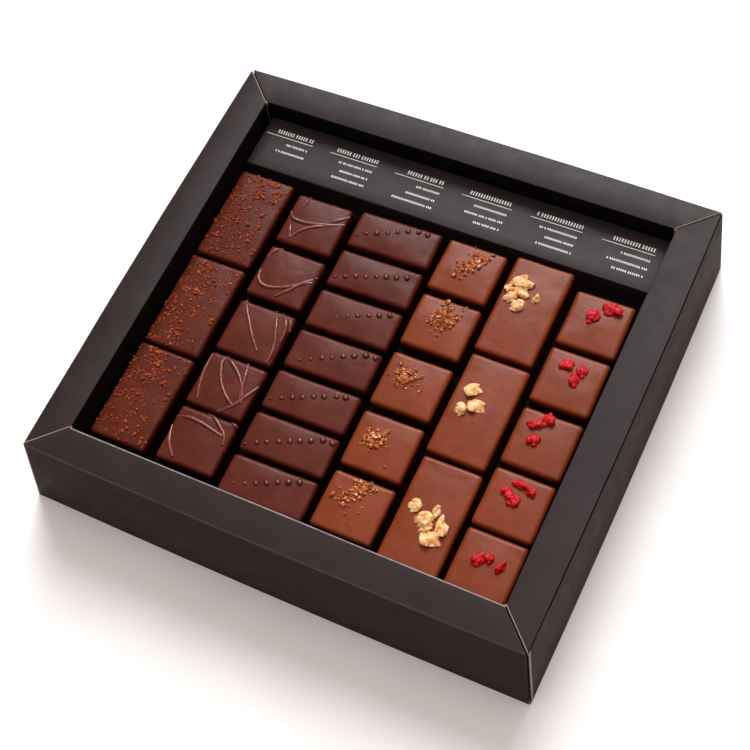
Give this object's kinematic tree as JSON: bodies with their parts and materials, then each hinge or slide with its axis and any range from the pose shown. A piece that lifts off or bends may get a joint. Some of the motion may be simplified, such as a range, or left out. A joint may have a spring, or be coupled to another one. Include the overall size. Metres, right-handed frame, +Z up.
{
  "type": "box of chocolate pralines",
  "caption": "Open folded-card gift tray with a wide flat border, holding rows of small decorated chocolates on a raised floor and a folded label strip along the back.",
  "frame": {"origin": "middle of the base, on the surface the box stands on", "axes": "+X to the right along the label strip, +Y from the front wall to the label strip at the back, +Z up out of the open top"},
  "size_m": [0.2192, 0.2002, 0.042],
  "materials": {
    "black_card": "matt coated card",
    "floor_card": "matt dark card",
    "label_card": "matt dark card",
    "dark_chocolate": "satin dark chocolate",
    "milk_chocolate": "satin milk chocolate"
  },
  "bodies": {
    "root": {"tray": "black_card", "raised_floor": "floor_card", "label_card": "label_card", "flake_bar_1": "dark_chocolate", "flake_bar_2": "dark_chocolate", "flake_bar_3": "dark_chocolate", "drizzle_square_1": "dark_chocolate", "drizzle_square_2": "dark_chocolate", "drizzle_square_3": "dark_chocolate", "drizzle_square_4": "dark_chocolate", "drizzle_square_5": "dark_chocolate", "bead_slab_1": "dark_chocolate", "bead_slab_2": "dark_chocolate", "bead_slab_3": "dark_chocolate", "bead_slab_4": "dark_chocolate", "bead_slab_5": "dark_chocolate", "bead_slab_6": "dark_chocolate", "bead_slab_7": "dark_chocolate", "crystal_square_1": "milk_chocolate", "crystal_square_2": "milk_chocolate", "crystal_square_3": "milk_chocolate", "crystal_square_4": "milk_chocolate", "crystal_square_5": "milk_chocolate", "nut_bar_1": "milk_chocolate", "nut_bar_2": "milk_chocolate", "nut_bar_3": "milk_chocolate", "berry_square_1": "milk_chocolate", "berry_square_2": "milk_chocolate", "berry_square_3": "milk_chocolate", "berry_square_4": "milk_chocolate", "berry_square_5": "milk_chocolate"}
  },
  "joints": []
}
